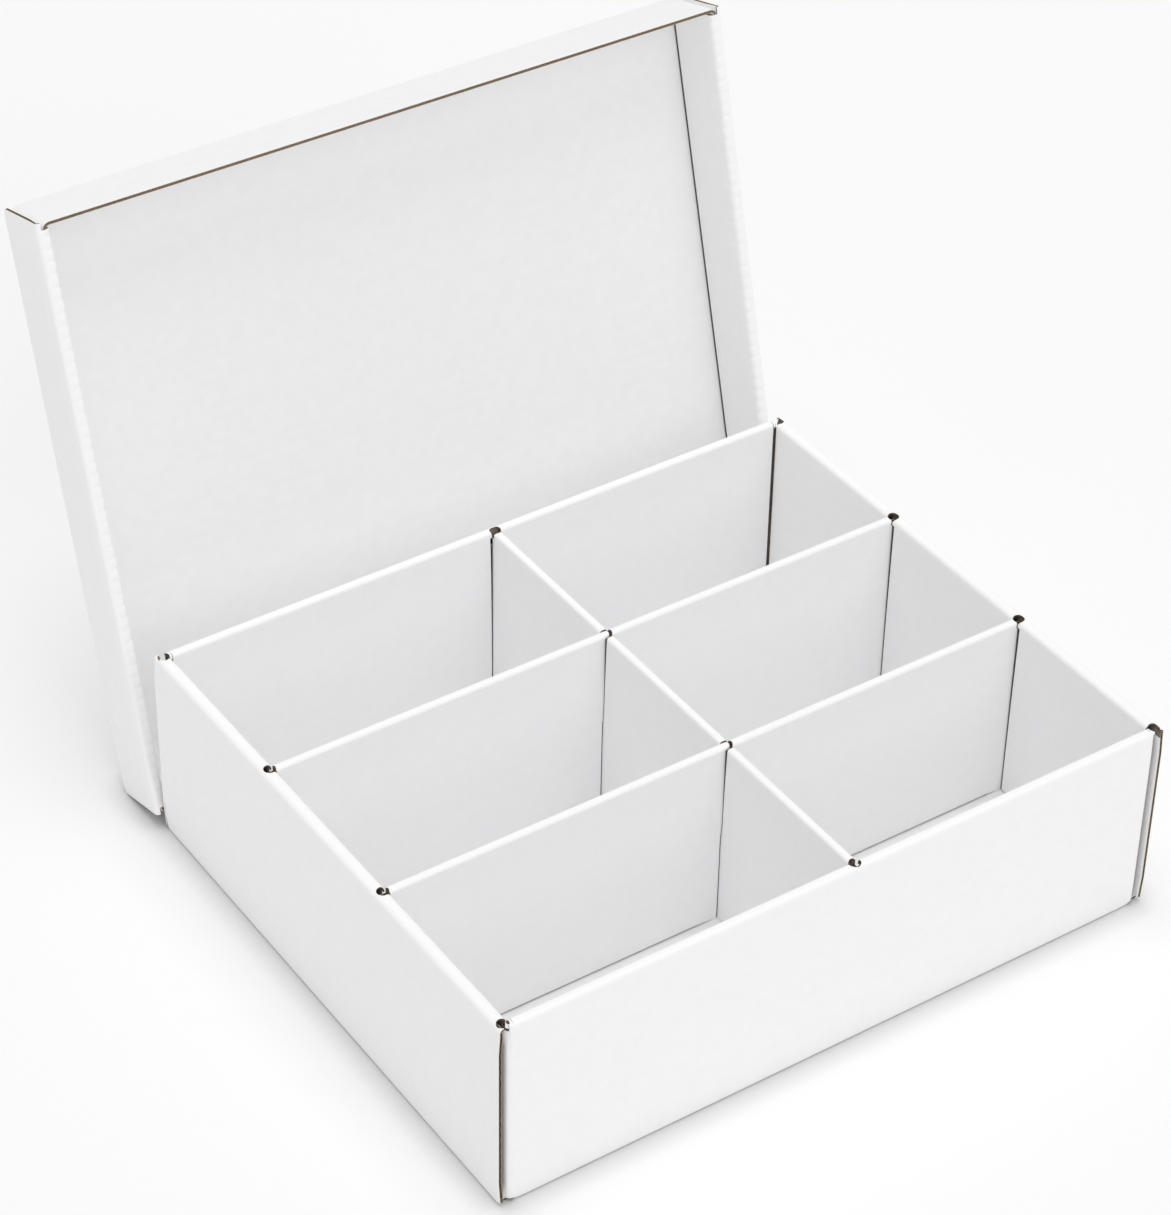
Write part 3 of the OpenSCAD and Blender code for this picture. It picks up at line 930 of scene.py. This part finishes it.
def panel_state(x, y):
    """A plain panel that goes on into its four walls, except at the corners."""
    return np.select([(np.abs(y) > panel_y) & (np.abs(x) > lid_turn),
                      (np.abs(y) > panel_y) | (np.abs(x) > panel_x)], [cut_away, goes_on], solid)


lid_sheets = [card_sheet(
    lambda x, y, below: np.stack([x, -y, below + 0 * x], -1) @ stand[0].T + stand[1],
    lines(-panel_x, panel_x, 16, [-lid_turn, lid_turn, *(s * (flap_face + e) for s in (-1, 1)
                                                         for e in (-0.1, 0.1))]),
    lines(-panel_y, panel_y, 16), panel_state, [], lambda x, y: lid_skew * x - y, unrolled,
    # painted shade on the panel under the feet of the end walls' flaps, where the seam is in shade
    inner_painted_shade=lambda x, y: (np.abs(x) > flap_face).astype(float))]

lid_plan = centred(walk((lid_inset - lid_length / 2, lid_tab - lid_width / 2), -90, 1,
                        [(lid_tab - upright_fold,), (upright_fold, 90), (2 * lid_turn,),
                         (upright_fold, 90), (lid_tab - upright_fold,)]))
lid_reach = lid_plan[0][-1]
lid_section = walk((crease, 0), 180, -1, [(crease, 90), (lid_depth - crease,)])
lid_rim = quarter + lid_depth - crease
lid_shoulder = quarter + lid_depth - lid_inset - crease
curl = lid_turn + upright_fold * math.acos(
    1 - (card + lid_flap_gap - curl_over) / upright_fold)
for turned in (0, 180):

    def lid_wall_state(w, l):
        """Straight up to the raw rim; past the curl of the corner the tab is lower."""
        return np.select(
            [(l < 0) & (np.abs(w) < lid_turn), (l < quarter) & (np.abs(w) > lid_turn),
             (l > lid_shoulder) & (np.abs(w) > curl), (np.abs(w) > lid_reach) | (l > lid_rim)],
            [goes_on] + 3 * [cut_away], solid)

    lid_sheets.append(card_sheet(
        folded(lid_plan, lid_section, turned, stand),
        lines(-lid_reach, lid_reach, 6, [-lid_turn, lid_turn, -curl, curl],
              [(lid_turn, lid_turn + corner_arc, fold_step),
               (-lid_turn - corner_arc, -lid_turn, fold_step)]),
        lines(0, lid_rim, 4, [quarter, lid_shoulder, lid_rim - 0.8], [(0, quarter, fold_step)]),
        lid_wall_state, [], lambda w, l: l + lid_width / 2 + lid_skew * w, unrolled,
        hollow=lid_recess))

end_section = walk((crease, 0), 180, -1,
                   [(crease, 90), (lid_depth - 2 * crease,), (crease, 90),
                    (lid_end - 2 * crease,), (crease, 90), (lid_depth - crease - card - lid_seam,)])
half_lid = lid_width / 2
end_plan = centred(walk((-half_lid, -lid_length / 2), 0, 1, [(lid_width,)]))
end_rim = quarter + lid_depth - 2 * crease
end_flat = end_rim + quarter
end_over = end_flat + lid_end - 2 * crease
end_flap = end_over + quarter
end_foot = end_flap + lid_depth - crease - card - lid_seam
lid_flap = half_lid - card - lid_flap_gap


def end_state(w, l):
    """The outer ply and the first crease of the rim run to the corners; the rest is narrower."""
    return np.select(
        [(l < 0) & (np.abs(w) < panel_y), (l < quarter) & (np.abs(w) > panel_y),
         (l > end_flat) & (np.abs(w) > lid_flap), (np.abs(w) > half_lid) | (l > end_foot)],
        [goes_on] + 3 * [cut_away], solid)


def scalloped(place):
    """The rolled end rims cross the flutes, so the liner sinks between two of them: the depth
    grows over the rim by the eighth power of a sine, which gives one narrow dip to a flute."""
    over = over_rim(end_flat + 0.6, end_flap + 0.4)

    def sunk(w, l, below):
        dip = np.sin(np.pi * w / flute_pitch) ** 8
        return place(w, l, below + scallop_depth * over(l) * dip)

    return sunk


def hidden_in_end(w, l):
    """Brown as painted shade inside the end wall, but white beside the ends of its flap."""
    return np.abs(w) < lid_flap - white_beside


for turned in (-90, 90):
    lid_sheets.append(card_sheet(
        scalloped(folded(end_plan, end_section, turned, stand)),
        lines(-half_lid, half_lid, 0.75, [-panel_y, panel_y, -lid_flap, lid_flap]),
        lines(0, end_foot, 8, [quarter, end_rim, end_flat, end_over, end_flap, end_foot - 0.8],
              [(0, quarter, 0.6), (end_rim, end_flap + 1.2, 0.5)]),
        end_state, [], upright_flutes, over_rim(end_rim, end_flap), None, hidden_in_end))

card_piece("lid_card", lid_sheets, "lid")


# The set: a pale paper floor that takes the soft shadow, and even studio light: a wide softbox
# overhead, one in front of the tray to the right of the camera, and white walls all round.
floor_mesh = bpy.data.meshes.new("paper_floor")
floor_mesh.from_pydata([(-6, -6, 0), (6, -6, 0), (6, 6, 0), (-6, 6, 0)], [], [(0, 1, 2, 3)])
paper_floor = bpy.data.objects.new("paper_floor", floor_mesh)
bpy.context.scene.collection.objects.link(paper_floor)
sweep, tree = new_material("White background paper")
# the lamps alone leave the contact shadow too weak, so the paper is darker within 14 mm of card
close = add(tree, "ShaderNodeAmbientOcclusion", {"Distance": 0.014}, samples=8).outputs["AO"]
shade = add(tree, "ShaderNodeMix", {"Factor": close, "A": to_linear("#BEBEBE"),
            "B": to_linear("#FAFAFA")}, data_type="RGBA").outputs["Result"]
paper = add(tree, "ShaderNodeBsdfDiffuse", {"Color": shade})
add(tree, "ShaderNodeOutputMaterial", {"Surface": paper.outputs[0]})
floor_mesh.materials.append(sweep)

world = bpy.data.worlds.new("studio")
bpy.context.scene.world = world
world.use_nodes = True
tree = world.node_tree
tree.nodes.clear()
seen = add(tree, "ShaderNodeLightPath")
air = add(tree, "ShaderNodeBackground", {"Color": (1, 1, 1, 1), "Strength": 0.64})
blank = add(tree, "ShaderNodeBackground", {"Color": (1, 1, 1, 1), "Strength": 1.0})
backdrop = add(tree, "ShaderNodeMixShader", {0: seen.outputs["Is Camera Ray"],
               1: air.outputs[0], 2: blank.outputs[0]})
add(tree, "ShaderNodeOutputWorld", {"Surface": backdrop.outputs[0]})


def softbox(name, strength, azimuth, elevation, width):
    """A softbox far enough away to light the whole floor evenly, from a compass angle and a
    height; its width is the angle that it fills, and sets how soft its shadow is."""
    made = bpy.data.lights.new(name, "SUN")
    made.energy, made.angle = strength, math.radians(width)
    lamp = bpy.data.objects.new(name, made)
    lamp.matrix_world = Matrix.Rotation(math.radians(azimuth), 4, "Z") @ Matrix.Rotation(
        math.radians(90 - elevation), 4, "X") @ Matrix.Translation((0, 0, 3))
    bpy.context.scene.collection.objects.link(lamp)


softbox("overhead_softbox", 0.88, 0.0, 88.0, 45.0)
softbox("front_softbox", 0.42, 0.0, 35.0, 40.0)
bpy.context.scene.cycles.diffuse_bounces = 8

# The camera: the view of the photograph, found from the places of the rims and corners in it.
# The lens is given by its length in pixels of the photograph, which is so many pixels wide.
azimuth, elevation, roll_angle = (math.radians(a) for a in (34.4893, 37.7453, 1.0045))
camera_place = (-0.77814, -1.07589, 1.18043)
lens_pixels, photo_pixels = 3737.58, 1171.0
ahead = np.array([math.sin(azimuth) * math.cos(elevation),
                  math.cos(azimuth) * math.cos(elevation), -math.sin(elevation)])
right = np.array([math.cos(azimuth), -math.sin(azimuth), 0.0])
over = np.cross(right, ahead)
tilted_right = right * math.cos(roll_angle) + over * math.sin(roll_angle)
tilted_up = over * math.cos(roll_angle) - right * math.sin(roll_angle)
lens = bpy.data.cameras.new("camera")
lens.sensor_fit = "HORIZONTAL"
lens.sensor_width = 36.0
lens.lens = lens_pixels * lens.sensor_width / photo_pixels
camera = bpy.data.objects.new("camera", lens)
stance = Matrix.Identity(4)
stance.col[0][:3], stance.col[1][:3], stance.col[2][:3] = tilted_right, tilted_up, -ahead
stance.col[3][:3] = camera_place
camera.matrix_world = stance
bpy.context.scene.collection.objects.link(camera)
bpy.context.scene.camera = camera
bpy.context.scene.view_settings.view_transform = "Standard"
